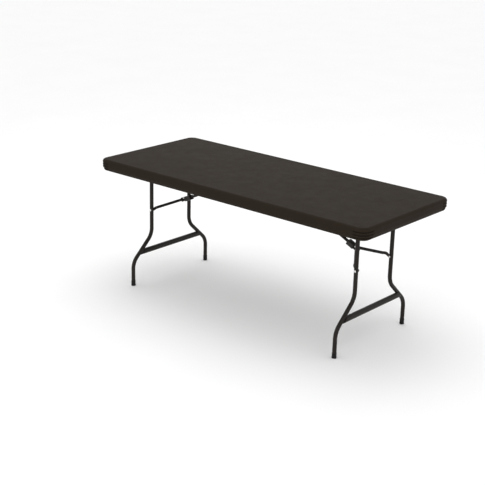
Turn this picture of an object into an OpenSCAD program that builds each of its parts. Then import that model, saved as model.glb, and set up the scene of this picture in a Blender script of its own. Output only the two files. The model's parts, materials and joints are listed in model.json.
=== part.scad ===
/* [Table top] */
// Length of the top, along X
top_l = 1829; // [1500:1:2000]
// Width of the top, along Y
top_w = 762; // [740:1:820]
// Height of the table
table_h = 737; // [720:1:760]
// Depth of the moulded edge
edge_h = 65; // [58:1:70]
// Radius of the top's corners in plan
corner_r = 49; // [44:1:60]
// Rounding of the upper edge
edge_round = 16; // [10:1:20]
// How far the edge slopes inward at its foot
edge_taper = 11; // [4:1:14]
// Thickness of the moulded skin
skin = 3; // [2:0.5:4]

/* [Leg sets] */
// Distance of each leg set from the middle
leg_x = 722.5; // [700:0.5:735]
// Half the spacing of the legs at the top
leg_y = 156; // [150:1:165]
// Half the spacing of the legs at the floor
foot_y = 305.5; // [295:0.5:308]
// Outer diameter of the leg tube
leg_d = 22.3; // [20:0.1:24]
// Centreline radius of the leg bends
bend_r = 90; // [70:1:100]
// Outer diameter of the lower crossbar
bar_d = 30.6; // [26:0.1:31]
// Height of the lower crossbar
bar_z = 187.5; // [180:0.5:200]

/* [Brace] */
// Height of the brace rivets on the legs
brace_z = 425; // [423:0.5:427]
// Outer diameter of the brace tubes
brace_d = 15.9; // [14:0.1:16.2]
// Length of the Y brace from its elbow to the legs
fork_l = 163.9; // [163.5:0.1:164.3]
// Length of the lock ring
ring_l = 44; // [36:1:46]

/* [Hidden] */
$fn = 64;

LEFT = -1;
RIGHT = 1;
FRONT = -1;
REAR = 1;
plastic = [0.26, 0.24, 0.22];
powder_coat = [0.22, 0.21, 0.20];
zinc = [0.75, 0.75, 0.74];
black = [0.10, 0.10, 0.10];

// Table top: heights and plan sizes
edge_z = table_h - edge_h;
under_z = table_h - 32;
rim_w = 24;
pocket_l = top_l - 2 * rim_w;
pocket_w = top_w - 2 * rim_w;
pocket_r = corner_r - rim_w;
taper_h = 26;
channel_w = 48;
channel_l = 1180;
channel_z = under_z + 21;
groove_n = 3;
groove_pitch = 15;
groove_z = table_h - 22;
groove_r = 3.4;
groove_out = 1.2;
groove_run = 30;

// Leg pivot and rails
pivot_z = edge_z + 16;
pivot_d = 19;
rail_t = 2;
rail_y = 333;
rail_w = 20;
rail_l = 1560;
rail_z = edge_z + 2;
bushing_d = 24;
bushing_flange_d = 28;
bushing_gap = 0.08;
bushing_w = 6;
screw_d = 4.2;
screw_head_d = 9;
screw_head_h = 2.4;
screw_slot_l = 5.2;
screw_slot_w = 1.2;
rail_screw_reach = 12;
bracket_screw_reach = 7;
rail_screw_x = [120, 400, 660, 765];

// Leg tubes
tube_wall = 1.2;
bend_lap = 0.6;
bend_swell = 0.12;
leg_r = leg_d / 2;
upper_bend_z = 279;
lower_bend_z = 140;
splay = atan2(foot_y - leg_y, upper_bend_z - lower_bend_z);
bend_run = bend_r * tan(splay / 2);
bar_out = 3.7;
bar_set_back = 6;
foot_h = 30;
foot_wall = 1.7;
foot_sole = 4;
foot_edge_r = 2;
rivet_d = 7;
rivet_head_d = 14;
rivet_head_h = 3.2;

// Brace: the link's bracket end, the elbow and the leg end lie on one line
anchor_z = channel_z - 12;
brace_slope = 0.4746;
brace_tilt = atan(brace_slope);
anchor_x = leg_x - (anchor_z - brace_z) / brace_slope;
brace_l = (anchor_z - brace_z) / sin(brace_tilt);
brace_r = brace_d / 2;
pin_d = 8;
pin_gap = 0.06;
pin_head_d = 13;
pin_head_h = 1.4;
ring_side_gap = 0.6;
plate_gap = 0.35;
plate_t = 3;
plate_in = brace_r + plate_gap;
plate_out = plate_in + plate_t;
yoke_r = 9;
yoke_l = 56;
yoke_top = 15.5;
yoke_web = 2.3;
yoke_web_s = 26;
yoke_rivet_s = 33.5;
yoke_rivet_head_d = 11;
yoke_rivet_head_h = 2.6;
yoke_rivet_t = 9.8;
yoke_rivet_d = 5.5;
arm_s = 50;
arm_lead = 18;
arm_kink_s = 141;
arm_t = 4;
arm_end_y = 135.5;
arm_end_r = 8.2;
arm_rivet_head_d = 10;
arm_rivet_head_h = 1.6;
arm_end_t = 4.4;
arm_end_face = leg_y - leg_r - 0.6;
ring_gap = 1.9;
ring_wall = 2.6;
ring_lap = 24;
ring_corner_r = 4;
ring_bore_corner_r = 2;
bracket_t = 2;
bracket_l = 68;
bracket_ear_r = 12;
bracket_screw_x = 24;

// Places a shape on the leg set at one end; the left set mirrors the right one.
module at_end(end) {
  if (end == LEFT) mirror([1, 0, 0]) children();
  else children();
}

// Places a shape in the rear half, or mirrors it to the front one.
module at_side(side) {
  if (side == FRONT) mirror([0, 1, 0]) children();
  else children();
}

// Brace frame: +X runs down the brace from the elbow to the legs, +Z is square to it.
module on_brace() {
  translate([leg_x, 0, brace_z]) rotate([0, brace_tilt, 0]) translate([-fork_l, 0, 0]) children();
}

// A cylinder along Y that is centred on y = 0.
module y_cylinder(d, length) {
  rotate([90, 0, 0]) cylinder(d = d, h = length, center = true);
}

// A cylinder along Y between two values of y.
module y_pin(d, y_from, y_to) {
  translate([0, y_to, 0]) rotate([90, 0, 0]) cylinder(d = d, h = y_to - y_from);
}

// A low domed head on an axis along Y, standing out from y = 0 towards +Y.
module y_dome(d, height) {
  ball_r = (d * d / 4 + height * height) / (2 * height);
  intersection() {
    translate([0, height - ball_r, 0]) sphere(r = ball_r);
    y_pin(d + 2, 0, height + 1);
  }
}

// Outline of the top in plan, as a block with round corners.
module rounded_block(length, width, radius, z_from, z_to) {
  translate([0, 0, z_from]) {
    linear_extrude(z_to - z_from) {
      square([length - 2 * radius, width], center = true);
      square([length, width - 2 * radius], center = true);
      for (x = [-1, 1], y = [-1, 1]) {
        translate([x * (length / 2 - radius), y * (width / 2 - radius)]) circle(r = radius);
      }
    }
  }
}

// Half section of the top's edge, from the corner centre outward.
module edge_section(inset) {
  reach = corner_r - inset;
  high = table_h - inset;
  low = edge_z + inset;
  round_r = edge_round - inset;
  difference() {
    polygon([
      [0, low], [reach - edge_taper, low], [reach - edge_taper / 2.6, low + taper_h / 3],
      [reach, low + taper_h], [reach, high], [0, high]
    ]);
    translate([reach - round_r, high - round_r]) difference() {
      square(round_r + 1);
      circle(r = round_r);
    }
  }
}

// The slab's outer form: a core, four straight edges and four turned corners.
module slab(inset) {
  core_l = top_l - 2 * corner_r;
  core_w = top_w - 2 * corner_r;
  union() {
    translate([-core_l / 2, -core_w / 2, edge_z + inset]) cube([core_l, core_w, edge_h - 2 * inset]);
    for (turn = [0, 180]) rotate(turn) {
      translate([core_l / 2, core_w / 2, 0]) rotate([90, 0, 0]) linear_extrude(core_w) edge_section(inset);
      translate([-core_l / 2, core_w / 2, 0]) rotate([90, 0, 90]) linear_extrude(core_l) edge_section(inset);
      translate([core_l / 2, core_w / 2, 0]) rotate_extrude(angle = 90) edge_section(inset);
      translate([-core_l / 2, core_w / 2, 0]) rotate([0, 0, 90]) {
        rotate_extrude(angle = 90) edge_section(inset);
      }
    }
  }
}

// One moulded groove round a corner, with a straight run onto each side.
module corner_groove(z) {
  reach = corner_r + groove_out;
  translate([top_l / 2 - corner_r, top_w / 2 - corner_r, z]) {
    rotate_extrude(angle = 90) translate([reach, 0]) circle(r = groove_r);
    translate([reach, 0, 0]) {
      rotate([90, 0, 0]) cylinder(r = groove_r, h = groove_run);
      translate([0, -groove_run, 0]) sphere(r = groove_r);
    }
    translate([0, reach, 0]) {
      rotate([0, -90, 0]) cylinder(r = groove_r, h = groove_run);
      translate([-groove_run, 0, 0]) sphere(r = groove_r);
    }
  }
}

module table_top() {
  color(plastic) difference() {
    slab(0);
    rounded_block(pocket_l, pocket_w, pocket_r, edge_z - 1, under_z);
    translate([-channel_l / 2, -channel_w / 2, under_z - 1]) {
      cube([channel_l, channel_w, channel_z - under_z + 1]);
    }
    difference() {
      slab(skin);
      rounded_block(pocket_l + 2 * skin, pocket_w + 2 * skin, pocket_r + skin, edge_z - 1, under_z + skin);
      translate([-channel_l / 2 - skin, -channel_w / 2 - skin, under_z - 1]) {
        cube([channel_l + 2 * skin, channel_w + 2 * skin, channel_z - under_z + 1 + skin]);
      }
    }
    for (end = [0, 1], side = [0, 1], i = [0 : groove_n - 1]) {
      mirror([end, 0, 0]) mirror([0, side, 0]) corner_groove(groove_z - i * groove_pitch);
    }
    rail_screw_places() cylinder(d = screw_d, h = skin + 1);
    bracket_screw_places() cylinder(d = screw_d, h = skin + 1);
  }
}

// Rails: a channel that is open towards the edge of the top.
module rail(side) {
  color(powder_coat) at_side(side) difference() {
    translate([-rail_l / 2, rail_y, rail_z]) cube([rail_l, rail_w, under_z - rail_z]);
    translate([-rail_l / 2 - 1, rail_y + rail_t, rail_z + rail_t]) {
      cube([rail_l + 2, rail_w, under_z - rail_z - 2 * rail_t]);
    }
    for (end = [-1, 1]) translate([end * leg_x, rail_y, pivot_z]) y_cylinder(bushing_d, 4 * rail_t);
    for (end = [-1, 1], x = rail_screw_x) {
      translate([end * x, rail_y + rail_w / 2, under_z - rail_t - 1]) cylinder(d = screw_d, h = rail_t + 2);
    }
  }
}

module rail_screw_places() {
  for (end = [-1, 1], side = [-1, 1], x = rail_screw_x) {
    translate([end * x, side * (rail_y + rail_w / 2), under_z]) children();
  }
}

module bracket_screw_places() {
  for (end = [-1, 1], x = [-bracket_screw_x, bracket_screw_x]) {
    translate([end * (anchor_x + x), 0, channel_z]) children();
  }
}

// A pan-head screw that points up: its head is under z = 0.
module screw(grip, reach) {
  translate([0, 0, -grip]) {
    cylinder(d = screw_d, h = grip + reach);
    difference() {
      translate([0, 0, -screw_head_h]) cylinder(d1 = screw_head_d - 2, d2 = screw_head_d, h = screw_head_h);
      for (turn = [0, 90]) rotate(turn) {
        translate([-screw_slot_w / 2, -screw_slot_l / 2, -screw_head_h - 0.1]) {
          cube([screw_slot_w, screw_slot_l, screw_slot_w]);
        }
      }
    }
  }
}

module rail_screws() {
  color(zinc) rail_screw_places() screw(rail_t, rail_screw_reach);
}

module bracket_screws() {
  color(zinc) bracket_screw_places() screw(bracket_t, bracket_screw_reach);
}

// Bracket in the top's central channel, with two ears for the link's pin.
module bracket(end) {
  ear_y = plate_in + bracket_t;
  color(zinc) at_end(end) translate([anchor_x, 0, 0]) difference() {
    union() {
      translate([-bracket_l / 2, -ear_y, channel_z - bracket_t]) cube([bracket_l, 2 * ear_y, bracket_t]);
      for (y = [-ear_y, plate_in]) translate([0, y, 0]) {
        translate([-bracket_ear_r, 0, anchor_z]) cube([2 * bracket_ear_r, bracket_t, channel_z - anchor_z]);
        translate([0, bracket_t, anchor_z]) rotate([90, 0, 0]) cylinder(r = bracket_ear_r, h = bracket_t);
      }
    }
    translate([0, 0, anchor_z]) y_cylinder(pin_d, 4 * ear_y);
    for (end = [-1, 1]) translate([end * bracket_screw_x, 0, channel_z - bracket_t - 1]) {
      cylinder(d = screw_d, h = bracket_t + 2);
    }
  }
}

module bracket_pin(end) {
  ear_y = plate_in + bracket_t;
  color(zinc) at_end(end) translate([anchor_x, 0, anchor_z]) {
    y_pin(pin_d, -ear_y, ear_y);
    y_pin(pin_head_d, ear_y, ear_y + pin_head_h);
    y_pin(pin_head_d, -ear_y - pin_head_h, -ear_y);
  }
}

module bushings(end) {
  color(black) at_end(end) for (side = [FRONT, REAR]) at_side(side) {
    translate([leg_x, rail_y, pivot_z]) difference() {
      union() {
        y_pin(bushing_d, -bushing_w / 2, rail_t + bushing_w / 2);
        y_pin(bushing_flange_d, -bushing_w / 2, 0);
      }
      y_cylinder(pivot_d + 2 * bushing_gap, 30);
    }
  }
}

// Leg set: the pivot tube turns in the bushings.
module pivot_tube(end) {
  half = rail_y + rail_t + bushing_w / 2 + 3;
  color(powder_coat) at_end(end) translate([leg_x, 0, pivot_z]) difference() {
    y_cylinder(pivot_d, 2 * half);
    y_cylinder(pivot_d - 2 * tube_wall, 2 * half + 2);
  }
}

// A straight stretch of leg tube up from the origin; each end laps a bend by bend_lap.
module leg_run(length) {
  translate([0, 0, -bend_lap]) difference() {
    cylinder(d = leg_d, h = length + 2 * bend_lap);
    translate([0, 0, -1]) cylinder(d = leg_d - 2 * tube_wall, h = length + 2 * bend_lap + 2);
  }
}

// One turned stretch of tube: it starts at the origin, heads down and swings towards +Y.
module leg_bend() {
  translate([0, bend_r, 0]) rotate([-90, 0, -90]) {
    rotate_extrude(angle = splay) translate([bend_r, 0]) difference() {
      circle(d = leg_d + bend_swell);
      circle(d = leg_d - 2 * tube_wall - bend_swell);
    }
  }
}

// The whole path of a leg in the rear half, from the pivot tube to the foot's sole.
module leg_path() {
  slant = norm([foot_y - leg_y, upper_bend_z - lower_bend_z]) - 2 * bend_run;
  upper_z = upper_bend_z + bend_run;
  lower_z = lower_bend_z - bend_run;
  translate([leg_x, leg_y, upper_z]) leg_run(pivot_z - upper_z);
  translate([leg_x, leg_y, upper_z]) leg_bend();
  translate([leg_x, leg_y + bend_run * sin(splay), upper_bend_z - bend_run * cos(splay)]) {
    rotate([180 + splay, 0, 0]) leg_run(slant);
  }
  translate([leg_x, foot_y, lower_z]) rotate([180, 0, 0]) leg_bend();
  translate([leg_x, foot_y, foot_sole + bend_lap]) leg_run(lower_z - foot_sole - bend_lap);
}

module leg(end, side) {
  color(powder_coat) at_end(end) at_side(side) difference() {
    leg_path();
    translate([leg_x, 0, pivot_z]) y_cylinder(pivot_d, 2 * rail_y);
    translate([leg_x, leg_y - leg_r - 1, pivot_z]) translate([-leg_r - 1, 0, 0]) cube(2 * leg_r + 2);
    translate([leg_x, leg_y, brace_z]) y_cylinder(rivet_d, leg_d + 4);
  }
}

// Lower crossbar: each end is cut along the leg's slope and fits round the tube's inner side.
module crossbar(end) {
  slope_y = leg_y + (upper_bend_z - bar_z) * tan(splay);
  color(powder_coat) at_end(end) difference() {
    translate([leg_x + bar_out, 0, bar_z]) difference() {
      y_cylinder(bar_d, 2 * slope_y + 2 * bar_d);
      y_cylinder(bar_d - 2 * tube_wall, 2 * slope_y + 2 * bar_d + 2);
    }
    for (side = [FRONT, REAR]) at_side(side) {
      translate([leg_x, slope_y, bar_z]) rotate([180 + splay, 0, 0]) {
        cylinder(d = leg_d, h = 4 * bar_d, center = true);
        translate([-bar_d, bar_set_back - 2 * bar_d, -2 * bar_d]) {
          cube([2 * bar_d, 2 * bar_d, 4 * bar_d]);
        }
      }
    }
  }
}

module foot(end, side) {
  cup_r = leg_r + foot_wall;
  color(black) at_end(end) at_side(side) translate([leg_x, foot_y, 0]) difference() {
    rotate_extrude() difference() {
      square([cup_r, foot_h]);
      translate([cup_r - foot_edge_r, 0]) difference() {
        translate([0, -1]) square(foot_edge_r + 1);
        translate([0, foot_edge_r]) circle(r = foot_edge_r);
      }
    }
    translate([0, 0, foot_sole]) cylinder(d = leg_d, h = foot_h);
  }
}

module leg_rivets(end) {
  color(zinc) at_end(end) for (side = [FRONT, REAR]) at_side(side) {
    translate([leg_x, leg_y, brace_z]) {
      y_pin(rivet_d, -leg_r, leg_r + 0.5);
      translate([0, leg_r + 0.2, 0]) y_dome(rivet_head_d, rivet_head_h);
    }
  }
}

// Upper link: a straight tube with round ends, bored for both pins.
module link(end) {
  link_l = brace_l - fork_l;
  color(powder_coat) at_end(end) on_brace() difference() {
    intersection() {
      translate([-link_l - brace_r, 0, 0]) rotate([0, 90, 0]) difference() {
        cylinder(d = brace_d, h = link_l + brace_d);
        translate([0, 0, brace_d]) cylinder(d = brace_d - 2 * tube_wall, h = link_l - brace_d);
      }
      union() {
        for (s = [-link_l, 0]) translate([s, 0, 0]) y_cylinder(brace_d, brace_d + 2);
        translate([-link_l, -brace_r - 1, -brace_r]) cube([link_l, brace_d + 2, brace_d]);
      }
    }
    for (s = [-link_l, 0]) translate([s, 0, 0]) y_cylinder(pin_d + 2 * pin_gap, brace_d + 4);
  }
}

// Lock ring: a square sleeve that laps the yoke's round end and stops the elbow from bending.
module lock_ring(end) {
  inner_y = plate_out + pin_head_h + ring_side_gap;
  inner_z = yoke_r + ring_gap;
  from = ring_lap - ring_l;
  color(black) at_end(end) on_brace() difference() {
    translate([from, 0, 0]) ring_block(inner_y + ring_wall, inner_z + ring_wall, ring_l, ring_corner_r);
    translate([from - 1, 0, 0]) ring_block(inner_y, inner_z, ring_l + 2, ring_bore_corner_r);
  }
}

// A block along X with rounded long edges, centred on the X axis.
module ring_block(half_y, half_z, length, radius) {
  rotate([90, 0, 90]) linear_extrude(length) {
    square([2 * half_y - 2 * radius, 2 * half_z], center = true);
    square([2 * half_y, 2 * half_z - 2 * radius], center = true);
    for (y = [-1, 1], z = [-1, 1]) {
      translate([y * (half_y - radius), z * (half_z - radius)]) circle(r = radius);
    }
  }
}

// Yoke: two plates and a web above the link, which folds up between the plates from below.
module yoke(end) {
  color(powder_coat) at_end(end) on_brace() difference() {
    union() {
      for (y = [-plate_out, plate_in]) translate([0, y + plate_t, 0]) rotate([90, 0, 0]) {
        linear_extrude(plate_t) yoke_outline();
      }
      translate([yoke_web_s, -plate_out, yoke_top - yoke_web]) {
        cube([yoke_l - yoke_web_s, 2 * plate_out, yoke_web]);
      }
    }
    y_cylinder(pin_d, 4 * plate_out);
    translate([yoke_rivet_s, 0, yoke_rivet_t]) y_cylinder(yoke_rivet_d, 4 * plate_out);
  }
}

module yoke_outline() {
  circle(r = yoke_r);
  polygon([
    [0, -yoke_r], [yoke_l, -yoke_r], [yoke_l, yoke_top],
    [yoke_web_s, yoke_top], [yoke_web_s - 1, yoke_r], [0, yoke_r]
  ]);
}

module elbow_pin(end) {
  color(zinc) at_end(end) on_brace() {
    y_pin(pin_d, -plate_out, plate_out);
    y_pin(pin_head_d, plate_out, plate_out + pin_head_h);
    y_pin(pin_head_d, -plate_out - pin_head_h, -plate_out);
  }
}

module yoke_rivet(end) {
  color(zinc) at_end(end) on_brace() translate([yoke_rivet_s, 0, yoke_rivet_t]) {
    y_pin(yoke_rivet_d, -plate_out, plate_out);
    for (side = [FRONT, REAR]) at_side(side) translate([0, plate_out, 0]) {
      y_dome(yoke_rivet_head_d, yoke_rivet_head_h);
    }
  }
}

// Arm of the Y brace: a slanted tube, then a flattened end beside the leg.
module arm(end, side) {
  run = [arm_kink_s - arm_s, arm_end_y - plate_out - 2];
  reach = norm(run);
  turn = atan2(run[1], run[0]);
  color(powder_coat) at_end(end) at_side(side) on_brace() difference() {
    union() {
      difference() {
        translate([arm_s, plate_out + 2, arm_t]) rotate([0, 0, turn]) translate([-arm_lead, 0, 0]) {
          rotate([0, 90, 0]) cylinder(d = brace_d, h = reach + 2 * arm_lead);
        }
        translate([0, plate_out - fork_l, -brace_d]) cube([2 * fork_l, fork_l, 2 * brace_d]);
        translate([0, arm_end_face - arm_end_t / 2, -brace_d]) {
          cube([2 * fork_l, 2 * brace_d, 2 * brace_d]);
        }
      }
      translate([arm_kink_s, arm_end_face, arm_t]) rotate([90, 0, 0]) {
        linear_extrude(arm_end_t) arm_end_outline();
      }
    }
    translate([fork_l, arm_end_face, 0]) y_cylinder(rivet_d, 20);
  }
}

// Outline of the flattened end, from the kink to round the leg rivet.
module arm_end_outline() {
  run = [fork_l - arm_kink_s, -arm_t];
  strip_w = 2 * arm_end_r - 0.1;
  circle(r = arm_end_r);
  translate(run) circle(r = arm_end_r);
  rotate(atan2(run[1], run[0])) translate([0, -strip_w / 2]) square([norm(run), strip_w]);
}

module arm_rivets(end) {
  inner_face = arm_end_face - arm_end_t;
  color(zinc) at_end(end) for (side = [FRONT, REAR]) at_side(side) on_brace() translate([fork_l, 0, 0]) {
    y_pin(rivet_d, inner_face, arm_end_face);
    y_pin(arm_rivet_head_d, inner_face - arm_rivet_head_h, inner_face);
  }
}

table_top();
rail(FRONT);  // front_rail
rail(REAR);  // rear_rail
rail_screws();
bracket_screws();
bracket(LEFT);  // left_bracket
bracket_pin(LEFT);  // left_bracket_pin
bushings(LEFT);  // left_bushings
bracket(RIGHT);  // right_bracket
bracket_pin(RIGHT);  // right_bracket_pin
bushings(RIGHT);  // right_bushings
pivot_tube(LEFT);  // left_pivot_tube
leg(LEFT, FRONT);  // left_front_leg
leg(LEFT, REAR);  // left_rear_leg
crossbar(LEFT);  // left_crossbar
foot(LEFT, FRONT);  // left_front_foot
foot(LEFT, REAR);  // left_rear_foot
leg_rivets(LEFT);  // left_leg_rivets
link(LEFT);  // left_link
lock_ring(LEFT);  // left_lock_ring
yoke(LEFT);  // left_yoke
arm(LEFT, FRONT);  // left_front_arm
arm(LEFT, REAR);  // left_rear_arm
elbow_pin(LEFT);  // left_elbow_pin
yoke_rivet(LEFT);  // left_yoke_rivet
arm_rivets(LEFT);  // left_arm_rivets
pivot_tube(RIGHT);  // right_pivot_tube
leg(RIGHT, FRONT);  // right_front_leg
leg(RIGHT, REAR);  // right_rear_leg
crossbar(RIGHT);  // right_crossbar
foot(RIGHT, FRONT);  // right_front_foot
foot(RIGHT, REAR);  // right_rear_foot
leg_rivets(RIGHT);  // right_leg_rivets
link(RIGHT);  // right_link
lock_ring(RIGHT);  // right_lock_ring
yoke(RIGHT);  // right_yoke
arm(RIGHT, FRONT);  // right_front_arm
arm(RIGHT, REAR);  // right_rear_arm
elbow_pin(RIGHT);  // right_elbow_pin
yoke_rivet(RIGHT);  // right_yoke_rivet
arm_rivets(RIGHT);  // right_arm_rivets
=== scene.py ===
import json
import math

import bmesh
import bpy
from mathutils import Matrix, Vector


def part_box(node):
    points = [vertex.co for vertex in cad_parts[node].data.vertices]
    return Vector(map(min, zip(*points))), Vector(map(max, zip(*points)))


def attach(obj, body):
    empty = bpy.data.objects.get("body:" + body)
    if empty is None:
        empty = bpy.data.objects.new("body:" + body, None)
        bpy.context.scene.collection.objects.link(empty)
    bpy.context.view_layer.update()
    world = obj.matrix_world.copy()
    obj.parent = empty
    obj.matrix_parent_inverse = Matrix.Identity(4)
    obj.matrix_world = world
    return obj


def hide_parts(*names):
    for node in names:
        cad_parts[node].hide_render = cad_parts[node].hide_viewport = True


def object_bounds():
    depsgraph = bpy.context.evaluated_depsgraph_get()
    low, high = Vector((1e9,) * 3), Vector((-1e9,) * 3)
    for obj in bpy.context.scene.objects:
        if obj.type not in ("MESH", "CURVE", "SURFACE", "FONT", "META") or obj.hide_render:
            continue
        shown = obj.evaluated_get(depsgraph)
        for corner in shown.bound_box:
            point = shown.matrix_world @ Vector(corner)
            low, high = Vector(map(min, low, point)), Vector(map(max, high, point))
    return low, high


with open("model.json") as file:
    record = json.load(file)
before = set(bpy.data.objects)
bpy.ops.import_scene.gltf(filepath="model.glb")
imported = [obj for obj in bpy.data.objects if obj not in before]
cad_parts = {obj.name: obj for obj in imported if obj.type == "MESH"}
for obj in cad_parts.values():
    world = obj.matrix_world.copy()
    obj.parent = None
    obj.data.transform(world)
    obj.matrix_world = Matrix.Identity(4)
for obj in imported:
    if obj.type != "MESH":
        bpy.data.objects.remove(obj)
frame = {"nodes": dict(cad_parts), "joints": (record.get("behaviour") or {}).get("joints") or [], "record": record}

MM = 0.001
CAD_LOW, CAD_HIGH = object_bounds()
JOINTS = {joint["name"]: joint for joint in frame["joints"]}
SIDES = ("left", "right")
HALVES = ("front", "rear")

# Places that everything else is worked out from, in metres, for the right-hand set.
TABLE_H = CAD_HIGH.z
HALF_L = CAD_HIGH.x
HALF_W = CAD_HIGH.y
PIVOT = Vector(JOINTS["right_leg_fold"]["pos_m"])
ELBOW = Vector(JOINTS["right_elbow_turn"]["pos_m"])
RIVET_LOW, RIVET_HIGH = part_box("right_leg_rivets")
LEG_RIVET = Vector(((RIVET_LOW.x + RIVET_HIGH.x) / 2, 0, (RIVET_LOW.z + RIVET_HIGH.z) / 2))
LEG_R = 11.15 * MM
LEG_Y = 156 * MM
FOOT_LOW, FOOT_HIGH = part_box("right_rear_foot")
FOOT_Y = (FOOT_LOW.y + FOOT_HIGH.y) / 2


# ---------------------------------------------------------------- camera

def make_camera():
    """The camera stands in front and to the right, a little above the table."""
    place = Vector((3.7404, -4.5598, 2.3768))
    yaw, pitch, roll = -0.7077, 0.3297, 0.0242
    ahead = Vector((math.sin(yaw) * math.cos(pitch), math.cos(yaw) * math.cos(pitch), -math.sin(pitch)))
    level = ahead.cross(Vector((0, 0, 1))).normalized()
    above = level.cross(ahead)
    right = level * math.cos(roll) + above * math.sin(roll)
    up = above * math.cos(roll) - level * math.sin(roll)
    data = bpy.data.cameras.new("camera")
    data.lens = 84.18
    data.sensor_width = 36
    data.clip_end = 100
    camera = bpy.data.objects.new("camera", data)
    bpy.context.scene.collection.objects.link(camera)
    turn = Matrix((right, up, -ahead)).transposed().to_4x4()
    camera.matrix_world = Matrix.Translation(place) @ turn
    bpy.context.scene.camera = camera


# ---------------------------------------------------------------- materials

def new_material(name):
    material = bpy.data.materials.new(name)
    material.use_nodes = True
    return material, material.node_tree.nodes, material.node_tree.links


def shader_of(material):
    return material.node_tree.nodes["Principled BSDF"]


def noise(nodes, links, scale, detail=4, rough=0.55, warp=0.0):
    """A noise texture in the object's own coordinates; scale is in cycles a metre."""
    where = nodes.new("ShaderNodeTexCoord")
    texture = nodes.new("ShaderNodeTexNoise")
    texture.inputs["Scale"].default_value = scale
    texture.inputs["Detail"].default_value = detail
    texture.inputs["Roughness"].default_value = rough
    texture.inputs["Distortion"].default_value = warp
    links.new(where.outputs["Object"], texture.inputs["Vector"])
    return texture.outputs["Fac"]


def cells(nodes, links, scale, feature="F1"):
    """A cell texture in the object's own coordinates; scale is in cells a metre."""
    where = nodes.new("ShaderNodeTexCoord")
    texture = nodes.new("ShaderNodeTexVoronoi")
    texture.feature = feature
    texture.inputs["Scale"].default_value = scale
    links.new(where.outputs["Object"], texture.inputs["Vector"])
    return texture.outputs["Distance"]


def ramp(nodes, links, value, stops):
    """Maps a value to colours; stops is a list of (place, colour)."""
    node = nodes.new("ShaderNodeValToRGB")
    while len(node.color_ramp.elements) < len(stops):
        node.color_ramp.elements.new(0.5)
    for element, (place, colour) in zip(node.color_ramp.elements, stops):
        element.position = place
        element.color = (*colour, 1)
    links.new(value, node.inputs["Fac"])
    return node.outputs["Color"]


def multiply_colours(nodes, links, one, other):
    node = nodes.new("ShaderNodeMix")
    node.data_type = "RGBA"
    node.blend_type = "MULTIPLY"
    node.inputs["Factor"].default_value = 1.0
    links.new(one, node.inputs["A"])
    links.new(other, node.inputs["B"])
    return node.outputs["Result"]


def spread(nodes, links, value, low, high, to_low, to_high):
    """Maps low..high to to_low..to_high and holds it there."""
    node = nodes.new("ShaderNodeMapRange")
    for name, number in (("From Min", low), ("From Max", high), ("To Min", to_low), ("To Max", to_high)):
        node.inputs[name].default_value = number
    links.new(value, node.inputs["Value"])
    return node.outputs["Result"]


def bump(nodes, links, height, strength, distance, below=None):
    node = nodes.new("ShaderNodeBump")
    node.inputs["Strength"].default_value = strength
    node.inputs["Distance"].default_value = distance
    links.new(height, node.inputs["Height"])
    if below:
        links.new(below, node.inputs["Normal"])
    return node.outputs["Normal"]


def top_plastic():
    """Blow-moulded polyethylene: charcoal brown, a fine pebbled grain and faint cloudy tone."""
    material, nodes, links = new_material("top_plastic")
    shader = shader_of(material)
    cloud = ramp(nodes, links, noise(nodes, links, 5.5, 5, 0.6, 0.4),
                 [(0.30, (0.0230, 0.0172, 0.0122)), (0.72, (0.0258, 0.0194, 0.0140))])
    speckle = ramp(nodes, links, noise(nodes, links, 650, 3, 0.7),
                   [(0.32, (0.80, 0.80, 0.80)), (0.68, (1.0, 1.0, 1.0))])
    links.new(multiply_colours(nodes, links, cloud, speckle), shader.inputs["Base Color"])
    sheen = spread(nodes, links, noise(nodes, links, 14, 6, 0.65), 0.3, 0.7, 0.56, 0.64)
    links.new(sheen, shader.inputs["Roughness"])
    shader.inputs["Specular IOR Level"].default_value = 0.045
    shader.inputs["Specular Tint"].default_value = (1.0, 0.87, 0.74, 1)
    pebble = bump(nodes, links, cells(nodes, links, 420, "SMOOTH_F1"), 0.35, 0.0006)
    grain = bump(nodes, links, noise(nodes, links, 900, 4, 0.6), 0.30, 0.0004, pebble)
    links.new(bump(nodes, links, noise(nodes, links, 9, 2, 0.5), 0.10, 0.004, grain), shader.inputs["Normal"])
    return material


def powder_coat(name, dark, light, rough=0.42):
    """Powder-coated steel: a satin film with orange peel and a few rubbed places."""
    material, nodes, links = new_material(name)
    shader = shader_of(material)
    film = ramp(nodes, links, noise(nodes, links, 22, 5, 0.6), [(0.3, dark), (0.7, light)])
    links.new(film, shader.inputs["Base Color"])
    rubbed = spread(nodes, links, noise(nodes, links, 60, 6, 0.7), 0.35, 0.70, rough - 0.07, rough + 0.10)
    links.new(rubbed, shader.inputs["Roughness"])
    shader.inputs["Specular IOR Level"].default_value = 0.17
    peel = bump(nodes, links, noise(nodes, links, 700, 2, 0.4), 0.25, 0.0004)
    links.new(bump(nodes, links, cells(nodes, links, 1500, "SMOOTH_F1"), 0.12, 0.0002, peel),
              shader.inputs["Normal"])
    return material


def zinc_steel():
    """Bright zinc plate: brushed grain, cloudy passivation and a few dull spots."""
    material, nodes, links = new_material("zinc_steel")
    shader = shader_of(material)
    cloud = ramp(nodes, links, noise(nodes, links, 160, 5, 0.6),
                 [(0.30, (0.56, 0.57, 0.58)), (0.55, (0.72, 0.72, 0.71)), (0.78, (0.80, 0.79, 0.76))])
    links.new(cloud, shader.inputs["Base Color"])
    shader.inputs["Metallic"].default_value = 1.0
    links.new(spread(nodes, links, noise(nodes, links, 420, 4, 0.6), 0.3, 0.7, 0.24, 0.42),
              shader.inputs["Roughness"])
    links.new(bump(nodes, links, noise(nodes, links, 2600, 3, 0.6), 0.2, 0.0001), shader.inputs["Normal"])
    return material


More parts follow.
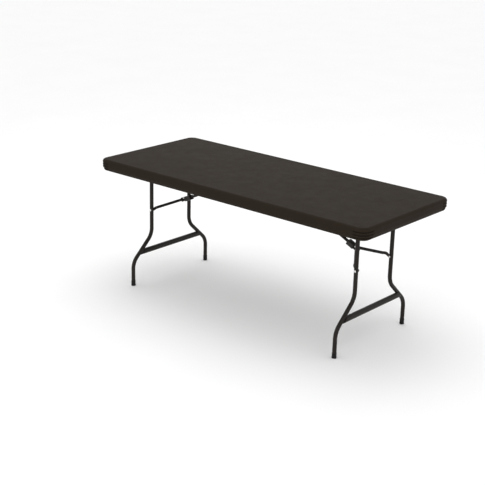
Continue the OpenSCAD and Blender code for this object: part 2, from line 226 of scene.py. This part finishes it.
def moulded_black(name, rough):
    """Black moulded plastic with a faint matte grain."""
    material, nodes, links = new_material(name)
    shader = shader_of(material)
    tone = ramp(nodes, links, noise(nodes, links, 90, 4, 0.6),
                [(0.3, (0.0050, 0.0046, 0.0044)), (0.7, (0.0085, 0.0080, 0.0075))])
    links.new(tone, shader.inputs["Base Color"])
    links.new(spread(nodes, links, noise(nodes, links, 240, 4, 0.6), 0.3, 0.7, rough - 0.06, rough + 0.08),
              shader.inputs["Roughness"])
    shader.inputs["Specular IOR Level"].default_value = 0.2
    links.new(bump(nodes, links, noise(nodes, links, 1600, 3, 0.6), 0.3, 0.0002), shader.inputs["Normal"])
    return material


# ---------------------------------------------------------------- mesh helpers

EDGE_BEVEL = 0.5 * MM

def finish_mesh(name, build, material, body, nodes=(), mirror_x=False, angle=38):
    """Turns a bmesh into a piece: it is mirrored if asked, shaded smooth and placed on its body."""
    if mirror_x:
        bmesh.ops.scale(build, vec=(-1, 1, 1), verts=build.verts)
        bmesh.ops.reverse_faces(build, faces=build.faces)
    mesh = bpy.data.meshes.new(name)
    build.to_mesh(mesh)
    build.free()
    mesh.shade_smooth()
    mesh.set_sharp_from_angle(angle=math.radians(angle))
    piece = bpy.data.objects.new(name, mesh)
    bpy.context.scene.collection.objects.link(piece)
    mesh.materials.append(material)
    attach(piece, body)
    if nodes:
        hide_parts(*nodes)
    return piece


def ring_faces(build, one, other):
    """Joins two loops of the same number of vertices."""
    count = len(one)
    for i in range(count):
        j = (i + 1) % count
        build.faces.new((one[i], one[j], other[j], other[i]))


def loft(build, loops):
    """A closed skin over loops of points; the two end caps are single flat faces."""
    rings = [[build.verts.new(point) for point in loop] for loop in loops]
    for one, other in zip(rings, rings[1:]):
        ring_faces(build, one, other)
    build.faces.new(list(reversed(rings[0])))
    build.faces.new(rings[-1])
    bmesh.ops.recalc_face_normals(build, faces=build.faces)


def section(centre, across, along, half_a, half_b, power=2.0, count=32):
    """A loop of points round centre: an ellipse at power 2, and squarer above it."""
    points = []
    for i in range(count):
        angle = 2 * math.pi * i / count
        c, s = math.cos(angle), math.sin(angle)
        a = math.copysign(abs(c) ** (2 / power), c) * half_a
        b = math.copysign(abs(s) ** (2 / power), s) * half_b
        points.append(centre + across * a + along * b)
    return points


def sweep(build, path, normal, radius, count=32, shape=None):
    """A tube along path, which lies in the plane square to normal.

    shape(i) may give (half across the plane, half in the plane, power) for point i."""
    loops = []
    for i, point in enumerate(path):
        ahead = (path[min(i + 1, len(path) - 1)] - path[max(i - 1, 0)]).normalized()
        inward = normal.cross(ahead).normalized()
        a, b, power = shape(i) if shape else (radius, radius, 2.0)
        loops.append(section(point, normal, inward, a, b, power, count))
    loft(build, loops)


def smooth_step(low, high, value):
    """0 below low, 1 above high and an even S-curve between them."""
    t = min(max((value - low) / (high - low), 0), 1)
    return t * t * (3 - 2 * t)


def lathe(build, centre, axis, profile, count=40):
    """Turns a closed profile of (along, radius) about an axis; both ends reach the axis."""
    axis = axis.normalized()
    side = axis.orthogonal().normalized()
    other = axis.cross(side)
    loops = [section(centre + axis * h, side, other, r, r, 2.0, count) for h, r in profile]
    loft(build, loops)


def refine(node, material):
    """A CAD node's own shape with small rounded edges and smooth curved faces."""
    edge_angle = 32
    build = bmesh.new()
    build.from_mesh(frame["nodes"][node].data)
    bmesh.ops.remove_doubles(build, verts=build.verts, dist=1e-6)
    bmesh.ops.dissolve_limit(build, angle_limit=math.radians(1), verts=build.verts, edges=build.edges)
    body = next(b for b, members in frame["record"]["behaviour"]["bodies"].items() if node in members)
    piece = finish_mesh(node + "_shape", build, material, body, [node], angle=edge_angle)
    rounding = piece.modifiers.new("edges", "BEVEL")
    rounding.width = EDGE_BEVEL
    rounding.segments = 2
    rounding.limit_method = "ANGLE"
    rounding.angle_limit = math.radians(edge_angle)
    rounding.harden_normals = False
    rounding.use_clamp_overlap = True
    shading = piece.modifiers.new("shading", "WEIGHTED_NORMAL")
    shading.keep_sharp = True


# ---------------------------------------------------------------- table top

CORNER_R = 49 * MM
EDGE_H = 65 * MM
EDGE_Z = TABLE_H - EDGE_H
UNDER_Z = TABLE_H - 32 * MM
RIM_W = 24 * MM
EDGE_ROUND = 16 * MM
EDGE_TAPER = 11 * MM
TAPER_H = 26 * MM
GROOVE_Z = [TABLE_H - 22 * MM - i * 15 * MM for i in range(3)]
GROOVE_HALF = 4.4 * MM
GROOVE_DEPTH = 6.0 * MM
GROOVE_RUN = 30 * MM
CHANNEL_HALF_W = 24 * MM
CHANNEL_HALF_L = 590 * MM
CHANNEL_DEPTH = 21 * MM


def plan_samples():
    """Places round the top's outline: (corner, direction outward, straight run past the corner's arc)."""
    runs = [0.004, 0.010, 0.016, 0.020, 0.024, 0.027, 0.030, 0.036, 0.060, 0.120]
    arc_steps = 20
    samples = []
    for k in range(4):
        start = math.pi / 2 * k
        for run in reversed(runs):
            samples.append((k, start, -run))
        for i in range(arc_steps + 1):
            samples.append((k, start + math.pi / 2 * i / arc_steps, 0.0))
        for run in runs:
            samples.append((k, start + math.pi / 2, run))
    return samples


def plan_point(sample, inset, z):
    """A point of the outline moved inward by inset."""
    k, angle, run = sample
    corner_x = (HALF_L - CORNER_R) * (1 if k in (0, 3) else -1)
    corner_y = (HALF_W - CORNER_R) * (1 if k in (0, 1) else -1)
    outward = Vector((math.cos(angle), math.sin(angle), 0))
    along = Vector((-math.sin(angle), math.cos(angle), 0))
    r = CORNER_R - inset
    return Vector((corner_x, corner_y, z)) + outward * r + along * run


def groove_share(sample):
    """1 round the corner, fading to 0 at the end of the groove's straight run."""
    return 1 - smooth_step(GROOVE_RUN * 0.55, GROOVE_RUN, abs(sample[2]))


def groove_cut(z):
    """Depth of the corner grooves at height z."""
    depth = 0
    for centre in GROOVE_Z:
        off = abs(z - centre) / GROOVE_HALF
        if off < 1:
            depth = max(depth, GROOVE_DEPTH * (0.5 + 0.5 * math.cos(math.pi * off)) ** 0.6)
    return depth


def edge_profile():
    """(inset, z) from the flat top over the round edge, down the side and up the inner wall."""
    profile = []
    for i in range(11):
        angle = math.pi / 2 * i / 10
        profile.append((EDGE_ROUND * (1 - math.sin(angle)), TABLE_H - EDGE_ROUND * (1 - math.cos(angle))))
    z = TABLE_H - EDGE_ROUND
    while z > EDGE_Z + 5 * MM:
        z -= 0.9 * MM
        fall = max(0, EDGE_Z + TAPER_H - z) / TAPER_H
        profile.append((EDGE_TAPER * fall ** 1.7, z))
    foot_r = 4.5 * MM
    last_inset, last_z = profile[-1]
    for i in range(1, 8):
        angle = math.pi / 2 * i / 7
        profile.append((last_inset + 0.6 * MM + foot_r * (1 - math.cos(angle)),
                        last_z - (last_z - EDGE_Z) * math.sin(angle)))
    inner_r = 3 * MM
    for i in range(6):
        angle = math.pi / 2 * i / 5
        profile.append((RIM_W - inner_r * (1 - math.sin(angle)), EDGE_Z + inner_r * (1 - math.cos(angle))))
    profile.append((RIM_W, UNDER_Z - 6 * MM))
    profile.append((RIM_W, TABLE_H - 7 * MM))
    return profile


def underside_height(x, y):
    """Height of the underside: a flat panel with a central channel and rows of tack-off cones."""
    z = UNDER_Z
    side = 1 - smooth_step(CHANNEL_HALF_W - 1 * MM, CHANNEL_HALF_W + 3 * MM, abs(y))
    end = 1 - smooth_step(CHANNEL_HALF_L - 1 * MM, CHANNEL_HALF_L + 5 * MM, abs(x))
    z += CHANNEL_DEPTH * side * end
    pitch_x, pitch_y = 74 * MM, 64 * MM
    row = round(abs(y) / pitch_y - 0.75)
    if 0 <= row <= 3 and abs(x) < HALF_L - 60 * MM:
        cone_y = (row + 0.75) * pitch_y
        shift = 0.5 * (row % 2)
        column = round(x / pitch_x - shift)
        cone_x = (column + shift) * pitch_x
        off = math.hypot(x - cone_x, abs(y) - cone_y)
        if abs(cone_x) < HALF_L - 80 * MM:
            z += 22 * MM * (1 - smooth_step(3 * MM, 17 * MM, off))
    return z


def grid_lines(half, fine, marks):
    """Even steps of about fine from -half to half, with the marks added."""
    count = round(2 * half / fine)
    lines = {round(-half + 2 * half * i / count, 6) for i in range(count + 1)}
    lines |= {round(s * m, 6) for m in marks for s in (-1, 1)}
    return sorted(lines)


def underside(build):
    """The underside panel, closed above by a flat face inside the slab."""
    xs = grid_lines(HALF_L - RIM_W + 6 * MM, 6 * MM, [CHANNEL_HALF_L, CHANNEL_HALF_L + 4 * MM])
    slope_marks = [CHANNEL_HALF_W + step for step in (-1 * MM, 0, 1.5 * MM, 3 * MM)]
    ys = grid_lines(HALF_W - RIM_W + 6 * MM, 6 * MM, slope_marks)
    rows = [[build.verts.new((x, y, underside_height(x, y))) for y in ys] for x in xs]
    for one, other in zip(rows, rows[1:]):
        for a, b, c, d in zip(one, one[1:], other[1:], other):
            build.faces.new((a, b, c, d))
    between = rows[1:-1]
    border = rows[0] + [row[-1] for row in between] + rows[-1][::-1] + [row[0] for row in between[::-1]]
    lid_z = TABLE_H - 6.5 * MM
    lid = [build.verts.new((v.co.x, v.co.y, lid_z)) for v in border]
    ring_faces(build, border, lid)
    build.faces.new(lid)


def table_top(material):
    """The moulded slab: its edge with the corner grooves, and the panel of its underside."""
    build = bmesh.new()
    samples = plan_samples()
    loops = []
    for inset, z in edge_profile():
        cut = groove_cut(z) if inset < EDGE_TAPER else 0
        loops.append([plan_point(s, inset + cut * groove_share(s), z) for s in samples])
    loft(build, loops)
    underside(build)
    bmesh.ops.recalc_face_normals(build, faces=build.faces)
    finish_mesh("moulded_top", build, material, "tabletop", ["table_top"], angle=50)


# ---------------------------------------------------------------- leg sets

UPPER_BEND_Z = 279 * MM
LOWER_BEND_Z = 140 * MM
BEND_R = 90 * MM
SPLAY = math.atan2(FOOT_Y - LEG_Y, UPPER_BEND_Z - LOWER_BEND_Z)
BEND_RUN = BEND_R * math.tan(SPLAY / 2)
SOLE = 4 * MM


def leg_line():
    """The leg's centre line in the rear half, from under the pivot tube to the foot."""
    x = PIVOT.x
    points = [Vector((x, LEG_Y, PIVOT.z - 3 * MM)), Vector((x, LEG_Y, PIVOT.z - 120 * MM))]
    start = Vector((x, LEG_Y, UPPER_BEND_Z + BEND_RUN))
    steps = 16
    for i in range(steps + 1):
        a = SPLAY * i / steps
        points.append(start + Vector((0, BEND_R * (1 - math.cos(a)), -BEND_R * math.sin(a))))
    end = Vector((x, FOOT_Y, LOWER_BEND_Z - BEND_RUN))
    for i in range(steps, -1, -1):
        a = SPLAY * i / steps
        points.append(end + Vector((0, -BEND_R * (1 - math.cos(a)), BEND_R * math.sin(a))))
    points.append(Vector((x, FOOT_Y, SOLE)))
    return points


def to_front(build):
    """Mirrors a shape of the rear half to the front one."""
    bmesh.ops.scale(build, vec=(1, -1, 1), verts=build.verts)
    bmesh.ops.reverse_faces(build, faces=build.faces)


def weld_bead(build, line, radius):
    """A rippled bead of weld along a closed line of points."""
    ripple, ripple_step, sides = 0.16, 2.1, 8
    count = len(line)
    rings = []
    reference = None
    for i, point in enumerate(line):
        ahead = (line[(i + 1) % count] - line[i - 1]).normalized()
        side = ahead.orthogonal().normalized()
        r = radius * (1 + ripple * math.sin(i * ripple_step))
        loop = section(point, side, ahead.cross(side), r, r, 2.0, sides)
        if reference is not None:
            shift = min(range(sides), key=lambda k: (loop[k] - reference).length)
            loop = loop[shift:] + loop[:shift]
        reference = loop[0]
        rings.append([build.verts.new(p) for p in loop])
    for one, other in zip(rings, rings[1:]):
        ring_faces(build, one, other)
    first, last = rings[0], rings[-1]
    shift = min(range(sides), key=lambda k: (first[k].co - last[0].co).length)
    ring_faces(build, last, first[shift:] + first[:shift])
    bmesh.ops.recalc_face_normals(build, faces=build.faces)


def leg(side, half, material):
    """One bent leg tube, with the weld that joins it to the pivot tube."""
    build = bmesh.new()
    sweep(build, leg_line(), Vector((1, 0, 0)), LEG_R, 36)
    pivot_r, least_drop, weld_r, weld_points = 9.5 * MM, 2 * MM, 1.5 * MM, 48
    line = []
    for i in range(weld_points):
        a = 2 * math.pi * i / weld_points
        x = LEG_R * math.cos(a)
        drop = math.sqrt(max(pivot_r ** 2 - x ** 2, least_drop ** 2))
        line.append(Vector((PIVOT.x + x, LEG_Y + LEG_R * math.sin(a), PIVOT.z - drop)))
    weld_bead(build, line, weld_r)
    if half == "front":
        to_front(build)
    finish_mesh(f"{side}_{half}_leg_tube", build, material, f"{side}_legs",
                [f"{side}_{half}_leg"], mirror_x=side == "left", angle=60)


def crossbar(side, material):
    """A round tube whose ends are cut to the leg's slope, welded shut and run into the leg."""
    build = bmesh.new()
    low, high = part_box("right_crossbar")
    bar_r = (high.z - low.z) / 2
    bar_x = high.x - bar_r
    bar_z = (high.z + low.z) / 2
    set_back = 6 * MM
    lean = math.tan(SPLAY)
    centre_y = LEG_Y + (UPPER_BEND_Z - bar_z) * lean - set_back / math.cos(SPLAY)
    points = 48

    def loop(reach, r, sign):
        ring = []
        for i in range(points):
            a = 2 * math.pi * i / points
            rise = r * math.sin(a)
            ring.append(Vector((bar_x + r * math.cos(a), sign * (reach - rise * lean), bar_z + rise)))
        return ring

    ends = [(0, bar_r - 2.0 * MM), (0.3 * MM, bar_r - 1.0 * MM), (1.0 * MM, bar_r - 0.3 * MM),
            (2.2 * MM, bar_r)]
    loops = [loop(centre_y - back, r, -1) for back, r in ends]
    loops += [loop(centre_y * share, bar_r, -1) for share in (0.8, 0.6, 0.4, 0.2)]
    loops += [loop(centre_y * share, bar_r, 1) for share in (0.2, 0.4, 0.6, 0.8)]
    loops += [loop(centre_y - back, r, 1) for back, r in reversed(ends)]
    loft(build, loops)
    finish_mesh(f"{side}_crossbar_tube", build, material, f"{side}_legs",
                [f"{side}_crossbar"], mirror_x=side == "left", angle=60)


def foot(side, half, material):
    """A cap that grips the tube's end, with a flared sole and two shallow rings."""
    build = bmesh.new()
    r = (FOOT_HIGH.x - FOOT_LOW.x) / 2
    h = FOOT_HIGH.z - FOOT_LOW.z
    profile = [(0, 0.5 * MM), (0, r - 2.2 * MM), (0.4 * MM, r - 1.0 * MM), (1.2 * MM, r - 0.2 * MM),
               (2.4 * MM, r), (5 * MM, r), (6 * MM, r - 0.5 * MM), (7 * MM, r - 0.6 * MM)]
    for ring in (12 * MM, 19 * MM):
        profile += [(ring, r - 0.6 * MM), (ring + 0.6 * MM, r - 1.0 * MM), (ring + 1.6 * MM, r - 1.0 * MM),
                    (ring + 2.2 * MM, r - 0.6 * MM)]
    profile += [(h - 1.4 * MM, r - 0.6 * MM), (h - 0.4 * MM, r - 0.9 * MM), (h, r - 1.5 * MM),
                (h, LEG_R - 0.5 * MM)]
    centre = Vector((PIVOT.x, FOOT_Y, 0))
    lathe(build, centre, Vector((0, 0, 1)), profile, 44)
    if half == "front":
        to_front(build)
    finish_mesh(f"{side}_{half}_foot_cap", build, material, f"{side}_legs",
                [f"{side}_{half}_foot"], mirror_x=side == "left", angle=40)


# ---------------------------------------------------------------- brace

ALONG = (LEG_RIVET - ELBOW).normalized()
ABOVE = Vector((-ALONG.z, 0, ALONG.x))
ASIDE = Vector((0, 1, 0))
FORK_L = (LEG_RIVET - ELBOW).length
BRACE_R = 7.95 * MM
PLATE_OUT = 11.3 * MM


def on_brace(s, y, t):
    """A point s down the brace from the elbow, y to the rear and t above it."""
    return ELBOW + ALONG * s + ASIDE * y + ABOVE * t


def arm(side, half, material):
    """A round tube from the yoke that kinks beside the leg and is pressed flat round the rivet."""
    build = bmesh.new()
    leg_gap = 0.6 * MM
    face = LEG_Y - LEG_R - leg_gap
    flat_half = 2.2 * MM
    arm_t = 4 * MM
    start = (35 * MM, 0)
    kink = (134 * MM, 130 * MM)
    end_r = 8.2 * MM
    stations = []
    for i in range(11):
        share = i / 10
        stations.append((start[0] + (kink[0] - start[0]) * share * 0.93,
                         start[1] + (kink[1] - start[1]) * share * 0.93, 0.0))
    a = stations[-1]
    b = (FORK_L - 14 * MM, face - flat_half)
    for i in range(1, 13):
        w = i / 12
        press = smooth_step(0.15, 1.0, w)
        s = (1 - w) ** 2 * a[0] + 2 * w * (1 - w) * kink[0] + w * w * b[0]
        y = (1 - w) ** 2 * a[1] + 2 * w * (1 - w) * (b[1] + 1 * MM) + w * w * b[1]
        stations.append((s, y, press))
    tip = FORK_L + end_r
    for i in range(1, 13):
        w = math.sin(math.pi / 2 * i / 12)
        stations.append((b[0] + (tip - b[0]) * w, b[1], 1.0))
    path = []
    for s, y, press in stations:
        sink = smooth_step(kink[0], FORK_L, s)
        path.append(on_brace(s, min(y, face - BRACE_R + (BRACE_R - flat_half) * press), arm_t * (1 - sink)))

    def shape(i):
        s, y, press = stations[i]
        tall = BRACE_R + (end_r - BRACE_R) * press
        if s > FORK_L:
            tall = math.sqrt(max(end_r ** 2 - (s - FORK_L) ** 2, (0.6 * MM) ** 2))
        thin = BRACE_R + (flat_half - BRACE_R) * press
        return tall, thin, 2.0 + 3.0 * press

    sweep(build, path, ABOVE, BRACE_R, 40, shape)
    sunk = 0.8 * MM
    everything = build.verts[:] + build.edges[:] + build.faces[:]
    cut = bmesh.ops.bisect_plane(build, geom=everything, plane_co=(0, PLATE_OUT - sunk, 0),
                                 plane_no=(0, 1, 0), clear_inner=True)
    rim = [item for item in cut["geom_cut"] if isinstance(item, bmesh.types.BMEdge)]
    bmesh.ops.contextual_create(build, geom=rim)
    bmesh.ops.recalc_face_normals(build, faces=build.faces)
    if half == "front":
        to_front(build)
    finish_mesh(f"{side}_{half}_arm_tube", build, material, f"{side}_fork",
                [f"{side}_{half}_arm"], mirror_x=side == "left", angle=50)


# ---------------------------------------------------------------- light and floor

def stage_and_lights():
    scene = bpy.context.scene
    scene.view_settings.view_transform = "Standard"
    world = bpy.data.worlds.new("studio")
    scene.world = world
    world.use_nodes = True
    world.node_tree.nodes["Background"].inputs["Color"].default_value = (1.0, 1.0, 1.0, 1)
    world.node_tree.nodes["Background"].inputs["Strength"].default_value = 1.0

    floor_mesh = bpy.data.meshes.new("floor")
    half = 40.0
    corners = [(-half, -half, 0), (half, -half, 0), (half, half, 0), (-half, half, 0)]
    floor_mesh.from_pydata(corners, [], [(0, 1, 2, 3)])
    floor = bpy.data.objects.new("floor", floor_mesh)
    scene.collection.objects.link(floor)
    material, nodes, links = new_material("floor")
    shader = shader_of(material)
    paper = ramp(nodes, links, noise(nodes, links, 2, 3, 0.5),
                 [(0.3, (0.955, 0.955, 0.955)), (0.7, (0.97, 0.97, 0.97))])
    links.new(paper, shader.inputs["Base Color"])
    shader.inputs["Roughness"].default_value = 0.9
    shader.inputs["Specular IOR Level"].default_value = 0.1
    floor_mesh.materials.append(material)

    def area(name, place, aim, size, power):
        data = bpy.data.lights.new(name, "AREA")
        data.shape = "DISK"
        data.size = size
        data.energy = power
        light = bpy.data.objects.new(name, data)
        light.location = place
        light.rotation_euler = (Vector(aim) - Vector(place)).to_track_quat("-Z", "Y").to_euler()
        scene.collection.objects.link(light)

    area("overhead", (-0.8, 0.6, 3.6), (0, 0, 0.5), 3.0, 25)
    area("front_fill", (1.5, -4.5, 2.2), (0, 0, 0.5), 2.5, 12)


# ---------------------------------------------------------------- assembly

make_camera()
TOP = top_plastic()
FRAME_PAINT = powder_coat("frame_steel", (0.0130, 0.0103, 0.0085), (0.0185, 0.0150, 0.0125))
RING_PAINT = powder_coat("ring_steel", (0.026, 0.024, 0.022), (0.040, 0.037, 0.034), 0.36)
ZINC = zinc_steel()
FOOT_BLACK = moulded_black("foot_plastic", 0.55)
BUSHING_BLACK = moulded_black("bushing_plastic", 0.45)
PAINTS = {"top_plastic": TOP, "frame_steel": FRAME_PAINT, "ring_steel": RING_PAINT, "zinc_steel": ZINC,
          "foot_plastic": FOOT_BLACK, "bushing_plastic": BUSHING_BLACK}

table_top(TOP)
for side in SIDES:
    for half in HALVES:
        leg(side, half, FRAME_PAINT)
        foot(side, half, FOOT_BLACK)
        arm(side, half, FRAME_PAINT)
    crossbar(side, FRAME_PAINT)

MADE_ENDINGS = ("table_top", "_leg", "_foot", "_arm", "_crossbar")
MADE = {name for name in frame["nodes"] if name.endswith(MADE_ENDINGS)}
for entry in frame["record"]["subparts"]:
    if entry["node"] not in MADE:
        refine(entry["node"], PAINTS[entry["material_slot"]])

stage_and_lights()
